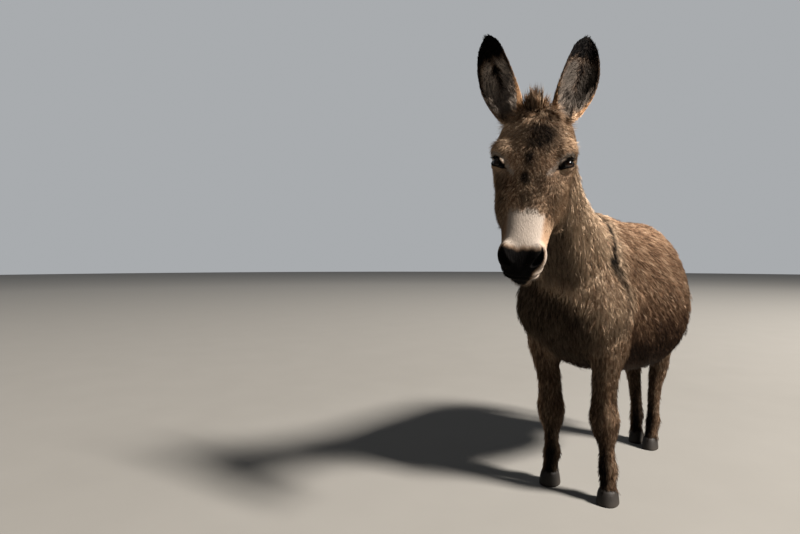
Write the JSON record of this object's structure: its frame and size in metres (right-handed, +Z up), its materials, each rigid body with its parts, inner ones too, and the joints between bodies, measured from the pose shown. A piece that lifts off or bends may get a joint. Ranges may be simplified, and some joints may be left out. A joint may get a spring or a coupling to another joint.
{
  "type": "donkey",
  "caption": "Still, life-size model of a standing donkey with a shaggy coat, upright ears and its head turned to its left.",
  "frame": {"origin": "on the floor, under the middle of the whole animal's box", "axes": "+Z up, +Y from nose to tail, +X towards the animal's left"},
  "size_m": [0.5376, 1.5516, 1.562],
  "materials": {
    "coat": "long matte brown hair",
    "muzzle_hair": "short pale hair, dark round the nostrils and lips",
    "dark_hair": "coarse matte dark hair",
    "hoof_horn": "dull dark horn",
    "eye": "wet and glossy"
  },
  "bodies": {
    "root": {"trunk": "coat", "neck": "coat", "head": "coat", "muzzle": "muzzle_hair", "eye_left": "eye", "ear_left": "coat", "eye_right": "eye", "ear_right": "coat", "mane": "dark_hair", "fore_left_upper": "coat", "fore_left_lower": "coat", "fore_left_hoof": "hoof_horn", "fore_right_upper": "coat", "fore_right_lower": "coat", "fore_right_hoof": "hoof_horn", "hind_left_upper": "coat", "hind_left_lower": "coat", "hind_left_hoof": "hoof_horn", "hind_right_upper": "coat", "hind_right_lower": "coat", "hind_right_hoof": "hoof_horn", "tail": "coat", "tail_tuft": "dark_hair"}
  },
  "joints": []
}
